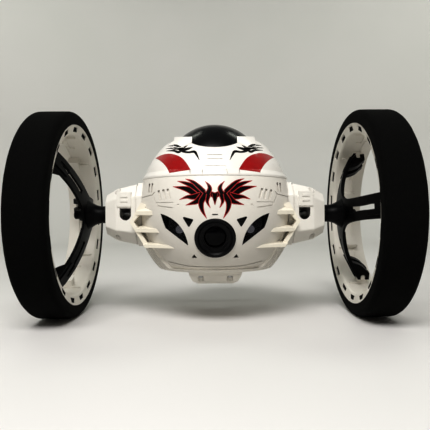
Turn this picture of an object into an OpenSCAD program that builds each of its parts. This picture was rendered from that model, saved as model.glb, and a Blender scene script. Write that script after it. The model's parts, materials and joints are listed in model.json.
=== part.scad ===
// Two-wheel jumping robot car: a ball body with a front mask and a smoked dome, two large foam-tyred
// wheels on geared arms, and a spring kicker at the back that is wound up and let go to make it jump.
// Front is -Y, up is +Z, the wheels turn about X. The origin is on the floor, under the axle line.
// Each module draws its part about the axle line, and at_axle() lifts it to the wheels' height.

/* [Wheels] */
// Outer radius of the foam tyre
tyre_r = 85; // [84:0.5:86]
// Width of the foam tyre
tyre_w = 30; // [26:1:34]
// Distance from the middle of the car to the inner face of a wheel
wheel_x = 113; // [112:0.5:115]
// Radius of the rim where the tyre sits
rim_r = 74.5; // [74:0.5:76]
// Number of slots in the rim's inner flange
rim_slots = 18; // [12:1:20]
// Turn of the right wheel's first spoke up from straight ahead
right_phase = 6; // [0:1:119]
// Turn of the left wheel's first spoke up from straight ahead
left_phase = 51; // [0:1:119]
// Turn of the right rim's flange slots up from straight ahead
right_slot_phase = 10; // [0:1:19]
// Turn of the left rim's flange slots up from straight ahead
left_slot_phase = 4; // [0:1:19]

/* [Body] */
// Outer radius of the lower body ball
ball_r = 64; // [63.5:0.5:64.5]
// Outer radius of the mask
mask_r = 64.3; // [64:0.1:64.5]
// Outer radius of the upper shell
top_r = 61; // [60.5:0.5:61.5]
// Height of the upper shell's centre over the axle
top_z = 11.7; // [11:0.1:12.5]
// Wall thickness of the shells
wall = 2.2; // [1.8:0.1:2.4]
// Height over the axle where the upper shell sits on the rest
waist_z = 27.6; // [27.4:0.1:28]

/* [Dome] */
// Outer radius of the dome
dome_r = 39.7; // [39.2:0.1:40]

/* [Lens] */
// Outer radius of the front lens ring
lens_r = 14.8; // [13:0.1:15]
// Tilt of the lens below straight ahead
lens_tilt = 16.3; // [14:0.1:18]

/* [Drive] */
// Radius of the wheel axle
axle_r = 2; // [1.5:0.1:2]
// Gear module of the drive train
drive_m = 0.6; // [0.55:0.01:0.6]

/* [Kicker] */
// Distance from the kicker's pivot to the middle of its foot
kicker_length = 58; // [54:0.5:58]
// Angle of the stowed kicker below level
kicker_drop = 8; // [6:1:12]

/* [Hidden] */
$fn = 96;

RIGHT = 1;
LEFT = -1;
gap = 0.02;          // between two parts that are fixed together
run = 0.05;          // between a shaft and the bore it turns in
big = 200;           // larger than the whole car, for cutting

// wheel
wheel_out = wheel_x + tyre_w;
tyre_round = 4;
flange_t = 1.8;
flange_cone = 2.6;   // how far the flange's inner edge stands outboard of its outer edge
slot_mid_r = 70.7;   // the flange's slots, filled by lugs of the tyre
slot_h = 4;
slot_l = 10.4;
barrel_r = 66.4;
barrel_out_r = 68.2;
step_x = 132.6;      // where the barrel's inside steps out
spider_x = 104.5;    // where the spider's dish starts on the axis
dish_r = 100;        // radius of the spider's dish
dish_t = 1.8;
hub_start = 89;
spoke_end = 59;
claw_x = 129.6;      // middle of the fork in a spoke's end
claw_end_r = 61.4;
prong_z = 4.3;       // middle of a fork's prong, either side of the spoke's plane
boss_count = 9;

// body
top_flat = 65;
side_cut = 57.2;
mask_z = 3.4;        // height of the mask's centre over the axle
mask_low = -41.5;
floor_z = -43.6;
pod_z = -53.6;       // under side of the battery door's pod
dome_y = -12;
dome_z = 32.2;
dome_t = 1.6;
seam_z = 5;
lens_out = 1.3;      // from the axle line to where the lens parts are measured from

// gears
pressure = 25;
pinion_teeth = 10;
idler_big_teeth = 40;
idler_small_teeth = 12;
output_teeth = 38;
big_x = 42;
small_x = 45.4;
idler_turn = 45;
motor_turn = -35;
idler_pos = drive_m * (idler_small_teeth + output_teeth) / 2 * [cos(idler_turn), sin(idler_turn)];
motor_pos = idler_pos + drive_m * (pinion_teeth + idler_big_teeth) / 2 * [cos(motor_turn), sin(motor_turn)];
motor_r = 10;
frame_in_x = 38.5;
frame_out_x = 52;
frame_t = 2;

// kicker, with places as [y, z] about the axle
pivot = [22, -36];
sector_m = 0.8;
sector_teeth = 40;
sector_cut = 10;     // teeth that the sector really has
winder_m = 0.5;
winder_teeth = 36;
winder_turn = 110;
winder_pos = pivot + sector_m * (pinion_teeth + sector_teeth) / 2 * [cos(winder_turn), sin(winder_turn)];
kick_motor_turn = 180;
kick_motor_pos = winder_pos
  + winder_m * (pinion_teeth + winder_teeth) / 2 * [cos(kick_motor_turn), sin(kick_motor_turn)];
kick_pin_r = 1.5;
foot = pivot + kicker_length * [cos(kicker_drop), -sin(kicker_drop)];
foot_r = 5;
foot_bar_r = 2.2;
leg_x = 10.4;
leg_w = 3;

// ---------------------------------------------------------------- helpers

module at_axle() { translate([0, 0, tyre_r]) children(); }

// The right-hand part, or its mirror image for the left
module side(s) {
  if (s == RIGHT) children();
  else mirror([1, 0, 0]) children();
}

// Shapes drawn in the [y, z] plane, raised along +X from x
module along_x(x) { translate([x, 0, 0]) rotate([90, 0, 90]) children(); }

// Shapes drawn in the [x, z] plane, raised from y0 to y1
module front_view(y0, y1) { translate([0, y1, 0]) rotate([90, 0, 0]) linear_extrude(y1 - y0) children(); }

// A rod along X, centred on p = [y, z]
module rod(p, r, x0, x1) { along_x(x0) translate(p) cylinder(r = r, h = x1 - x0); }

// A block from corner a to corner b
module block(a, b) { translate(a) cube(b - a); }

module ball_shell(r, t) {
  difference() {
    sphere(r);
    sphere(r - t);
  }
}

// A curve of n steps from a to c, pulled towards b
function bend(a, b, c, n) =
  [for (i = [0 : n]) let (t = i / n) (1 - t) * (1 - t) * a + 2 * t * (1 - t) * b + t * t * c];

// A straight stroke from a to b, w wide
module stroke(a, b, w) {
  d = b - a;
  translate(a) rotate(atan2(d[1], d[0])) translate([0, -w / 2]) square([norm(d), w]);
}

// A square-cornered line through points, w wide
module line(points, w) {
  for (i = [0 : len(points) - 2]) stroke(points[i], points[i + 1], w);
}

module mirrored() {
  children();
  mirror([1, 0, 0]) children();
}

// ---------------------------------------------------------------- gears

// The involute function in degrees
function inv(a) = tan(a) * 180 / PI - a;

// Half the angle that a tooth of a gear of pitch radius r covers at radius q
function half_tooth(teeth, r, q, slack) =
  90 / teeth - slack / r * 90 / PI + inv(pressure) - inv(acos(min(1, r * cos(pressure) / q)));

function turned(r, a) = [r * cos(a), r * sin(a)];

// Outline of count teeth of a gear with straight-sided roots. slack is the play at the pitch circle.
function gear_points(teeth, m, count, slack = 0.14, steps = 3) =
  let (r = teeth * m / 2, root = r - 1.05 * m, tip = r + 0.8 * m, base = max(root, r * cos(pressure)))
  [for (i = [0 : count - 1]) let (a = i * 360 / teeth) each concat(
    [turned(root, a - half_tooth(teeth, r, base, slack) - 0.2)],
    [for (k = [0 : steps]) let (q = base + (tip - base) * k / steps)
      turned(q, a - half_tooth(teeth, r, q, slack))],
    [for (k = [steps : -1 : 0]) let (q = base + (tip - base) * k / steps)
      turned(q, a + half_tooth(teeth, r, q, slack))],
    [turned(root, a + half_tooth(teeth, r, base, slack) + 0.2)]
  )];

// A spur gear with a tooth's middle at angle phase
module gear(teeth, m, width, phase) {
  linear_extrude(width) rotate(phase) polygon(gear_points(teeth, m, teeth));
}

// The angle that puts a gap of the second gear on the line from the first gear, which lies at angle a
function meshed(a, teeth) = a + 180 + 180 / teeth;

// ---------------------------------------------------------------- wheels

// The tyre is a foam ring with rounded shoulders whose foot fills the rim's channel
module tyre(s) {
  foot_r = barrel_out_r + gap;
  color("#151515") side(s) along_x(wheel_x) rotate_extrude() {
    translate([rim_r, 0]) square([tyre_r - tyre_round - rim_r, tyre_w]);
    translate([rim_r, tyre_round]) square([tyre_r - rim_r, tyre_w - 2 * tyre_round]);
    for (h = [tyre_round, tyre_w - tyre_round]) translate([tyre_r - tyre_round, h]) circle(tyre_round);
    polygon([
      [foot_r, flange_cone + flange_t + 0.5], [rim_r + 1, flange_t + 0.5], [rim_r + 1, tyre_w - flange_t - 0.8],
      [foot_r, tyre_w - flange_t - 0.8]
    ]);
  }
  color("#151515") side(s) round_axle(rim_slots, slot_phase_of(s))
    translate([wheel_x + 2, -slot_mid_r - slot_h / 2 + 0.05, -slot_l / 2 + 0.05])
      cube([3, slot_h - 0.1, slot_l - 0.1]);
}

function phase_of(s) = s == RIGHT ? right_phase : left_phase;
function slot_phase_of(s) = s == RIGHT ? right_slot_phase : left_slot_phase;

// Children drawn at angle 0, along -Y, copied round the axle
module round_axle(count, phase) {
  for (i = [0 : count - 1]) rotate([-(phase + i * 360 / count), 0, 0]) children();
}

// The rim's channel as one revolved section: conical slotted flange, barrel with a step, outer flange
module rim_section() {
  in_x = wheel_x + 0.3;
  out_x = wheel_out - 0.6;
  polygon([
    [rim_r - gap, in_x], [rim_r - gap, in_x + flange_t], [barrel_out_r, in_x + flange_cone + flange_t],
    [barrel_out_r, out_x - flange_t], [rim_r - gap, out_x - flange_t], [rim_r - gap, out_x],
    [barrel_r + 1, out_x], [barrel_r + 0.4, step_x + 1.2], [barrel_r - 1, step_x + 1], [barrel_r - 1, step_x],
    [barrel_r, step_x - 0.4], [barrel_r, in_x + flange_cone + 0.8], [barrel_r + 1, in_x + flange_cone - 0.4]
  ]);
}

module rim(s) {
  boss = [9, 5.8, 9];
  deep_boss = 8.4;
  boss_x = 125.6;
  nub = [3.6, 4, 11];
  pocket = [5, 2, 12];
  color("#e8e6e0") side(s) difference() {
    union() {
      along_x(0) rotate_extrude() rim_section();
      for (k = [0 : 2]) round_axle(3, phase_of(s) + k * 40) {
        difference() {
          translate([boss_x, -barrel_r - 1.2, -boss[2] / 2])
            cube([boss[0], k == 0 ? boss[1] : deep_boss, boss[2]]);
          block([boss_x - 1, -barrel_r + 1.2, -1], [boss_x + 3, -barrel_r + 4, 1]);
        }
        block([step_x - 14, -barrel_r - 1, boss[2] / 2 - 0.8],
          [step_x + 1, -barrel_r + 1.8, boss[2] / 2 + 0.6]);
      }
      round_axle(3, phase_of(s)) {
        translate([claw_x - nub[0] / 2, -claw_end_r - 0.6, -nub[2] / 2])
          cube([nub[0], nub[1] - nub[0] / 2 + 0.6, nub[2]]);
        translate([claw_x, -claw_end_r + nub[1] - nub[0] / 2, -nub[2] / 2])
          cylinder(r = nub[0] / 2, h = nub[2]);
      }
    }
    round_axle(rim_slots, slot_phase_of(s))
      translate([wheel_x - 1, -slot_mid_r - slot_h / 2, -slot_l / 2]) cube([7, slot_h, slot_l]);
    round_axle(boss_count, phase_of(s) + 180 / boss_count)
      translate([step_x - 7, -barrel_r - 1, -pocket[2] / 2]) cube(pocket);
    round_axle(3, phase_of(s)) rod([-claw_end_r + 2, prong_z], 0.8, claw_x - 4, claw_x + 1);
  }
}

// One spoke's outline along +X: narrow at the waist and wide at the rim
module spoke_outline() {
  waist = 8;
  wide = 10;
  edge = bend([12, 10.4], [27, waist], [spoke_end, wide], 8);
  polygon(concat(edge, [for (i = [len(edge) - 1 : -1 : 0]) [edge[i][0], -edge[i][1]]]));
}

// The long slot that splits a spoke in two
module spoke_slot() {
  edge = bend([23.5, 2.6], [35, 0.9], [49, 2.5], 6);
  polygon(concat(edge, [for (i = [len(edge) - 1 : -1 : 0]) [edge[i][0], -edge[i][1]]]));
}

module spider_outline() {
  hub_round = 13.5;
  fillet = 22;
  offset(r = -fillet, $fn = 40) offset(delta = fillet) union() {
    circle(hub_round);
    for (a = [0, 120, 240]) rotate(a) spoke_outline();
  }
}

// The space between two dished surfaces, t deep behind the spider's front face
module dish(t) {
  translate([spider_x + dish_r, 0, 0]) difference() {
    sphere(dish_r);
    sphere(dish_r - t);
    block([0, -big, -big], [big, big, big]);
  }
}

// Side view of a spoke's end, as [x, -distance from the axle]: a deep foot with a fork for the rim's nub
module claw_outline() {
  fork = 2.1;
  polygon(concat(
    [[121.6, -57.8], [118.2, -52]],
    bend([113.4, -43], [127, -45.5], [130.6, -51], 6),
    [[134.6, -54.6], [135, -claw_end_r + 0.2], [claw_x + fork, -claw_end_r + 0.2],
      [claw_x + fork, -claw_end_r + 4],
      [claw_x + fork * 0.6, -claw_end_r + 4.8], [claw_x - fork * 0.6, -claw_end_r + 4.8],
      [claw_x - fork, -claw_end_r + 4], [claw_x - fork, -claw_end_r + 0.2],
      [claw_x - fork - 2.4, -claw_end_r + 0.2], [123.6, -58.4]]
  ));
}

module wheel_spider(s) {
  rib = 1.8;
  rib_depth = 3.4;
  claw_w = 13;
  hub_r = 7.6;
  hub_end = 113;
  color("#141414") side(s) difference() {
    union() {
      intersection() {
        dish(dish_t);
        rotate([-phase_of(s), 0, 0]) along_x(spider_x - 1) linear_extrude(40)
          rotate(180) difference() {
            spider_outline();
            for (a = [0, 120, 240]) rotate(a) spoke_slot();
          }
      }
      intersection() {
        dish(rib_depth);
        rotate([-phase_of(s), 0, 0]) along_x(spider_x - 1) linear_extrude(40)
          rotate(180) for (a = [0, 120, 240], v = [-1, 1]) rotate(a)
            line([[14, v * 6.4], [34, v * 6], [56, v * 7]], rib);
      }
      round_axle(3, phase_of(s)) for (z = [-claw_w / 2, claw_w / 2 - 4.4])
        translate([0, 0, z]) linear_extrude(4.4) claw_outline();
      round_axle(3, phase_of(s)) intersection() {
        translate([0, 0, -claw_w / 2]) linear_extrude(claw_w) claw_outline();
        block([110, -58.6, -big], [130, -52.4, big]);
      }
      along_x(0) rotate_extrude() polygon(concat(
        [[0, hub_start], [hub_r, hub_start], [hub_r, hub_start + 2.4]],
        bend([hub_r - 0.4, hub_start + 2.6], [hub_r - 1.4, 99], [12.4, 105.2], 8),
        [[12, 108], [6, 109], [4.8, hub_end], [0, hub_end]]
      ));
    }
    rod([0, 0], axle_r + gap, hub_start - 1, hub_end + 1);
    round_axle(3, phase_of(s)) {
      rod([-claw_end_r + 2, prong_z], 1, claw_x - 10, claw_x + 10);
      rod([-claw_end_r + 2, prong_z], 1.9, claw_x - 12, claw_x - 4.7);
    }
  }
}

module spoke_screws(s) {
  color("#9a9a98") side(s) round_axle(3, phase_of(s))
    translate([claw_x - 4.7, -claw_end_r + 2, prong_z]) rotate([0, 90, 0]) screw(5, 1.7, 0.75);
}

module axle(s) { color("#b9bbbd") side(s) rod([0, 0], axle_r, 37, 116); }

module hub_cap(s) {
  cap_r = 3.5;
  color("#1b1b1b") side(s) difference() {
    along_x(113 + gap) rotate_extrude() polygon([[0, 0], [cap_r, 0], [cap_r, 3.8], [2.7, 4.6], [0, 4.8]]);
    rod([0, 0], axle_r + gap, 112, 116.2);
    for (a = [0 : 60 : 300]) rotate([a, 0, 0]) rod([cap_r, 0], 0.5, 112, 119);
  }
}

// ---------------------------------------------------------------- drive train

module drive_gear(s) {
  color("#e6e2d6") side(s) difference() {
    union() {
      along_x(small_x) gear(output_teeth, drive_m, 4, idler_turn);
      rod([0, 0], 4, small_x, small_x + 5.4);
    }
    rod([0, 0], axle_r + gap, small_x - 3, small_x + 7);
    for (a = [0 : 60 : 300]) rotate([a, 0, 0]) rod([7, 0], 1.6, small_x - 1, small_x + 5);
  }
}

module idler_gear(s) {
  color("#e6e2d6") side(s) difference() {
    union() {
      along_x(big_x) translate(idler_pos)
        gear(idler_big_teeth, drive_m, 2.8, motor_turn + 180 / idler_big_teeth);
      along_x(big_x + 2.7) translate(idler_pos)
        gear(idler_small_teeth, drive_m, 4.8, meshed(idler_turn, idler_small_teeth));
      rod(idler_pos, 2.4, big_x - 1, frame_out_x - 0.6);
    }
    rod(idler_pos, 1 + run, big_x - 2, frame_out_x);
    for (a = [15 : 60 : 315]) rod(idler_pos + turned(7.6, a), 1.7, big_x - 1, big_x + 2.6);
  }
}

module motor_pinion(s) {
  color("#c8a860") side(s) {
    rod(motor_pos, 1, 30, big_x + 3.6);
    difference() {
      along_x(big_x - 0.6) translate(motor_pos) gear(pinion_teeth, drive_m, 3.8, motor_turn + 180);
      rod(motor_pos, 1, 30, big_x + 3.6);
    }
  }
}

// A small motor with flats on its can, its cap at x0 and its boss at x1
module small_motor(p, r, flat, x0, x1) {
  cap = 2;
  boss_r = 3;
  difference() {
    union() {
      intersection() {
        rod(p, r, x0 + cap, x1 - 0.8);
        block([x0, p[0] - big, p[1] - flat], [x1, p[0] + big, p[1] + flat]);
      }
      intersection() {
        rod(p, r - 0.5, x0, x0 + cap);
        block([x0, p[0] - big, p[1] - flat + 0.5], [x1, p[0] + big, p[1] + flat - 0.5]);
      }
      rod(p, boss_r, x1 - 1, x1);
      for (v = [-1, 1])
        block([x0 - 1.4, p[0] + v * 4.5 - 0.8, p[1] - 0.3], [x0, p[0] + v * 4.5 + 0.8, p[1] + 0.3]);
    }
    rod(p, 1 + run, x1 - 9, x1 + 1);
  }
}

module drive_motor(s) { color("#b4b6b8") side(s) small_motor(motor_pos, motor_r, 7.6, 13.5, 38.4); }

module gearbox_frame(s) {
  foot = floor_z + wall + 0.2;
  posts = [[-10, -10], [17, -10], [-10, 17]];
  color("#2c2d30") side(s) difference() {
    union() {
      along_x(frame_in_x) linear_extrude(frame_t)
        polygon([[-13, foot], [9, foot], [9, -24], [30, -12], [34, -6], [34, 12], [24, 23], [-13, 23]]);
      along_x(frame_out_x) linear_extrude(frame_t)
        polygon([[-13, -13], [19, -13], [22, 2], [17, 19], [-13, 20]]);
      for (p = posts) rod(p, 2, frame_in_x + 1, frame_out_x + 1);
    }
    rod([0, 0], axle_r + run, frame_in_x - 1, frame_out_x + 3);
    rod(idler_pos, 1 + gap, frame_in_x - 1, frame_out_x + 3);
    rod(motor_pos, 3 + gap, frame_in_x - 1, frame_in_x + 3);
    for (p = posts) rod(p, 0.9, frame_out_x - 5, frame_out_x + 3);
    for (z = [-34, -28]) block([frame_in_x - 1, -6, z - 1.6], [frame_in_x + 3, 3, z + 1.6]);
  }
}

module idler_pins() { color("#b9bbbd") mirrored() rod(idler_pos, 1, frame_in_x, frame_out_x + frame_t); }

module axle_bush(s) {
  color("#b08a4a") side(s) difference() {
    union() {
      rod([0, 0], 4, 82.5, 88);
      rod([0, 0], 5.2, 81, 82.5);
    }
    rod([0, 0], axle_r + run, 80, 89);
  }
}

// ---------------------------------------------------------------- arms

// Rounded octagon, h from its middle to its flats
module arm_section(h) {
  corner = 2.4;
  offset(r = corner, $fn = 32) offset(delta = -corner) intersection() {
    square(2 * h, center = true);
    rotate(45) square(2 * 1.13 * h, center = true);
  }
}

// The arm's half-height at three places along it, as [x, half-height]
steps_of_arm = [[62.9, 24.4], [79, 21], [88.2, 16]];

module arm_solid(less) {
  for (i = [0, 1]) hull() for (p = [steps_of_arm[i], steps_of_arm[i + 1]])
    along_x(p[0] - 0.02) linear_extrude(0.02) arm_section(p[1] - less);
}

module arm_body() {
  collar_w = 4.4;
  difference() {
    union() {
      arm_solid(0);
      along_x(side_cut + gap) linear_extrude(collar_w) arm_section(25.4);
      along_x(side_cut + 1) linear_extrude(6) arm_section(23.6);
    }
    difference() {
      union() {
        arm_solid(2.2);
        along_x(side_cut - 1) linear_extrude(8) arm_section(21.6);
      }
      rod([0, 0], 7, 78.5, 90);
      block([76.4, -30, -30], [77.9, 30, 30]);
      block([88.2 - wall, -30, -30], [90, 30, 30]);
    }
    rod([0, 0], axle_r + 1.2, side_cut, 90);
    rod([0, 0], 4 + gap, 82.5 - gap, 90);
    rod([0, 0], 5.2 + gap, 78, 82.5);
    arm_window();
    arm_screw_wells();
  }
}

// A flat-topped round window under the seam, on the front
module arm_window() {
  mid_x = 71;
  half = 4.7;
  front_view(-40, -8) intersection() {
    union() {
      translate([mid_x, seam_z - 5]) circle(half);
      translate([mid_x - half, seam_z - 5]) square([2 * half, 5]);
    }
    translate([mid_x - half, seam_z - 10]) square([2 * half, 10]);
  }
}

module arm_screw_wells() {
  for (v = [-1, 1]) translate([78, -15, v * 22]) {
    cylinder(r = 2.3, h = 14, center = true);
    cylinder(r = 0.9 + gap, h = 26, center = true);
  }
}

// A raised plate with two small bars on the arm's front, above the seam
module arm_trim() {
  taper = 11.9;
  translate([steps_of_arm[0][0], -steps_of_arm[0][1], 0]) rotate([0, 0, taper]) {
    block([3.2, -0.8, seam_z + 1.2], [15.2, 1.6, 17.6]);
    for (z = [10, 13.6]) block([6, -1.3, z], [12, 1, z + 1.6]);
  }
}

module arm_upper(s) {
  color("#efece6") side(s) intersection() {
    union() {
      arm_body();
      arm_trim();
    }
    block([0, -big, seam_z], [big, big, big]);
  }
}

module arm_lower(s) {
  color("#e6e2dc") side(s) intersection() {
    arm_body();
    block([0, -big, -big], [big, big, seam_z - gap]);
  }
}

// ---------------------------------------------------------------- body shells

module top_ball(less) { translate([0, 0, top_z]) sphere(top_r - less); }

module dome_ball(less) { translate([0, dome_y, dome_z]) sphere(dome_r - less); }

// Plan of the hole that the dome stands in: narrow between the ridges' ends and wider behind them
module dome_plan(less) {
  corner = 20.6 - less;
  front = 18.4 - less;
  rear = 27;
  step_y = -34 + less;
  polygon([[-corner, -70], [corner, -70], [corner, -41], [front, step_y], [rear, step_y], [rear, 34],
    [-rear, 34], [-rear, step_y], [-front, step_y], [-corner, -41]]);
}

// Cuts the children, drawn in front view, to depth d into the front of the upper shell
module top_engrave(d) {
  intersection() {
    front_view(-70, -10) children();
    difference() {
      top_ball(-2);
      top_ball(d);
    }
  }
}

// Cuts the children, drawn in front view, to depth d into the mask
module mask_engrave(d) {
  intersection() {
    front_view(-70, -8) children();
    mask_shell(-2, d);
  }
}

module upper_shell() {
  lip_r = 59.8;
  ridge_x = 31.8;
  ridge_in = 17;
  ridge_y = [-42, 14];
  ridge_line = [[ridge_y[0], 58.2], [ridge_y[0] + 34, 63.4], [ridge_y[1], 64.4]];
  rear_slots = 5;
  color("#f6f4ef") difference() {
    union() {
      intersection() {
        top_ball(0);
        block([-big, -big, waist_z], [big, big, top_flat]);
      }
      translate([0, 0, waist_z]) rotate_extrude() polygon([
        [50, 0], [lip_r - 0.3, 0], [lip_r, 0.4], [lip_r, 1.3], [lip_r - 0.3, 2.1], [lip_r - 1.1, 3.3],
        [lip_r - 2.3, 5], [50, 5]
      ]);
      mirrored() intersection() {
        top_ball(-1.3);
        along_x(ridge_in) linear_extrude(ridge_x - ridge_in)
          polygon(concat([[ridge_y[0], 50]], ridge_line, [[ridge_y[1], 50]]));
      }
    }
    difference() {
      top_ball(wall);
      block([-big, -big, top_flat - wall], [big, big, big]);
      mirrored() block([ridge_x - 7, -24, 46], [ridge_x + 16, 20, big]);
      mirrored() block([ridge_in, -38, 56], [ridge_x, 20, big]);
    }
    mirrored() along_x(ridge_in) linear_extrude(ridge_x - ridge_in + 0.1)
      polygon(concat([[ridge_y[0], big]], ridge_line, [[ridge_y[1], big]]));
    mirrored() front_view(ridge_y[0], ridge_y[1]) polygon([
      [ridge_x, 70], [ridge_x, 58.4], [ridge_x + 2, 57.4], [ridge_x + 11.4, 54.6], [ridge_x + 20, 54.6],
      [ridge_x + 20, 70]
    ]);
    translate([0, 0, waist_z - 1]) cylinder(r = 54.8, h = 4);
    intersection() {
      dome_ball(-0.15);
      linear_extrude(big) dome_plan(0);
    }
    top_engrave(0.5) {
      line([[-9.2, 29], [-7.4, 35], [7.4, 35], [9.2, 29]], 0.6);
      for (z = [39.2, 42.4]) translate([-5.5, z]) square([11, 1]);
    }
    mirrored() top_engrave(0.5) line([[17.6, 29], [17.9, 31.6]], 0.6);
    for (i = [0 : rear_slots - 1]) translate([(i - (rear_slots - 1) / 2) * 7, 40, 46]) rotate([-52, 0, 0])
      cube([2.6, 14, 12], center = true);
    translate([0, 21.5, top_flat]) cube([30, 1, 1.2], center = true);
    translate([0, 0, waist_z + 11]) rotate_extrude(angle = 180) translate([top_r - 9.2, 0]) square([8, 0.8]);
  }
}

module dome_cover() {
  color("#0b0c0e") intersection() {
    difference() {
      dome_ball(0);
      dome_ball(dome_t);
    }
    linear_extrude(big) dome_plan(0.15);
    union() {
      block([-big, -big, top_flat - 5], [big, 30, big]);
      translate([0, 0, top_z]) difference() {
        sphere(top_r + 20);
        sphere(top_r - 4);
      }
    }
  }
}

// Black tower under the dome with a small round eye
module dome_insert() {
  color("#17181b") difference() {
    union() {
      block([-9.5, -34, 36], [9.5, -12, 60.6]);
      block([-16, -26, 36], [16, 6, 48]);
      translate([0, -34, 55]) rotate([90, 0, 0]) cylinder(r = 3.4, h = 2);
    }
    translate([0, -35, 55]) rotate([90, 0, 0]) cylinder(r = 2, h = 2);
    block([-7, -30, 35], [7, -14, 46]);
  }
}

// Half of a headlight: curved towards the lens, straight along the cheek
module headlight_outline(less) {
  offset(delta = -less) polygon(concat(
    bend([40, 0.6], [22, -4.2], [19.4, -22.8], 12),
    [[36.2, -10.2], [38.2, -5]]
  ));
}

module sensor_outline(less) {
  offset(delta = -less) offset(r = 0.8, $fn = 24) offset(delta = -0.8)
    polygon([[23.8, -1.4], [15, -3.8], [18.7, -9.8]]);
}

module lens_axis() { rotate([90 + lens_tilt, 0, 0]) translate([0, 0, lens_out]) children(); }

module mask_ball(less) { translate([0, 0, mask_z]) sphere(mask_r - less); }

// The mask's ball between two depths below its surface
module mask_shell(from, to) {
  difference() {
    mask_ball(from);
    mask_ball(to);
  }
}

// The part of space that the mask fills: whole at the top, cut back behind the cheeks
module mask_region(less) {
  difference() {
    block([-side_cut, -big, mask_low + less], [side_cut, -16 - less, waist_z - 0.1]);
    block([-big, -33 - less, -big], [big, big, -12]);
  }
}

module face_plate() {
  vents = [[41.6, 17.6], [37.8, 18], [34.4, 18.4]];
  color("#d9d7d3") difference() {
    intersection() {
      mask_shell(0, wall);
      mask_region(0);
    }
    lens_axis() cylinder(r = lens_r + 0.1, h = big);
    mirrored() front_view(-70, -20) headlight_outline(0);
    mirrored() front_view(-70, -20) sensor_outline(0);
    front_view(-70, -20) translate([-2, -0.9]) square([4, 0.9]);
    mirrored() front_view(-70, -20) polygon([[17.2, -32], [13.2, -32], [15.4, -29.2]]);
    mirrored() mask_engrave(1.2)
      for (p = vents) translate(p) rotate(-16) translate([-0.8, -7.4]) square([1.7, 7.6]);
    mirrored() mask_engrave(1.4) for (x = [46.6, 49.2]) translate([x, 16.5]) square([1.3, 7]);
    mirrored() mask_engrave(0.5) {
      line([[57, 13], [46.6, 14.6], [42.2, 6.2], [30.4, 4.6]], 0.6);
      line([[46.6, 14.6], [45, 16.6]], 0.6);
      translate([26.4, 6.6]) circle(0.7);
      line([[44, 8.6], [30, 8.6]], 0.4);
    }
    mask_engrave(0.5)
      line(concat([[-36, -36]], bend([-20, -38.6], [0, -39.4], [20, -38.6], 8), [[36, -36]]), 0.6);
  }
}

module headlight_window(s) {
  color("#08080a") side(s) intersection() {
    mask_shell(0.4, 2);
    front_view(-70, -20) headlight_outline(0.12);
  }
}

module sensor_windows() {
  color("#08080a") mirrored() intersection() {
    mask_shell(0.4, 2);
    front_view(-70, -20) sensor_outline(0.12);
  }
}

module headlight_leds() {
  color("#e8e8e8") mirrored() translate([26.3, -44, -11.3]) rotate([90, 0, 0]) {
    cylinder(r = 2.9, h = 1);
    cylinder(r = 2.5, h = 5);
    translate([0, 0, 5]) sphere(2.5);
    for (x = [-1.27, 1.27]) translate([x - 0.25, -0.25, -5]) cube([0.5, 0.5, 5]);
  }
}

module lens_bezel() {
  color("#0d0d0f") lens_axis() difference() {
    rotate_extrude() polygon([
      [8.2, 56], [12.4, 56], [12.4, 58.2], [lens_r, 58.2], [lens_r, 60.8], [13.8, 61.4],
      [12.6, 61.4], [11.6, 60.2], [9.4, 59.2], [9.4, 58.2], [8.2, 58.2]
    ]);
  }
}

module lens_glass() {
  glass_r = 14;
  color("#05060a") lens_axis() intersection() {
    translate([0, 0, 60.4 - glass_r]) sphere(glass_r);
    translate([0, 0, 58.2 + gap]) cylinder(r = 9.3, h = 10);
  }
}

module camera_module() {
  color("#23252a") lens_axis() difference() {
    union() {
      translate([0, 0, 47]) cylinder(r = 7, h = 9.5);
      translate([-10, -10, 41]) cube([20, 20, 6]);
    }
    translate([0, 0, 53]) cylinder(r = 5.4, h = 5);
  }
}

// Cheek: a bent outer bracket that stands off the mask on three fins, with deep pockets between them.
// Each fin is [bottom, top, tip_x, tip_y], its front edge running straight from the tip to the bracket.
module cheek(s) {
  top = [56.6, 9];
  elbow = [65, -6];
  low = [53, -25.6];
  inner = [-3.1, 1.4];
  back_y = -25.8;
  front_y = -37;
  // Each fin as [lower z, upper z, tip x, tip's distance in front, rise of its upper face, x of that rise]
  fins = [
    [-0.6, 2.4, 41.6, 46.8, 5.6, 52.6], [-13.6, -10.8, 39, 47.4, 2.6, 51],
    [-25.2, -22.8, 29.8, 49.4, 2.2, 49.6]
  ];
  color("#eae3d8") side(s) difference() {
    union() {
      front_view(front_y, back_y)
        polygon([top, elbow, low, low + inner, elbow + [-3.1, 0.4], top + [-4.4, -2.6], top - [7, 3]]);
      for (f = fins) intersection() {
        hull() {
          translate([0, 0, f[0]]) linear_extrude(f[1] - f[0])
            polygon([[f[2], -f[3]], [60.6, front_y], [68, back_y], [26, -20]]);
          block([f[5], back_y - 4, f[1]], [f[5] + 4, back_y, f[1] + f[4]]);
        }
        front_view(-80, back_y) polygon([[f[2] - 4, f[0] - 1], [f[2] - 1, f[0] + 2], top, elbow, low]);
      }
    }
    mask_ball(-gap);
    intersection() {
      sphere(ball_r + gap);
      lower_region();
    }
  }
}

// The part of space that the lower shell fills
module lower_region() {
  block([-side_cut, -33, floor_z], [side_cut, big, -12]);
  block([-side_cut, -16, -13], [side_cut, big, waist_z - 0.1]);
  block([-side_cut, -big, floor_z], [side_cut, 0, mask_low - 0.1]);
}

// A ring cut round the Y axis into the lower ball, at y, w wide and d deep
module ball_groove(y, w, d) {
  r = sqrt(ball_r * ball_r - y * y);
  translate([0, y, 0]) rotate([90, 0, 0]) rotate_extrude() translate([r - d, -w / 2]) square([d + 5, w]);
}

module rear_hatch(less) { front_view(40, 80) translate([0, 0.6]) circle(26.2 - less); }

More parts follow.
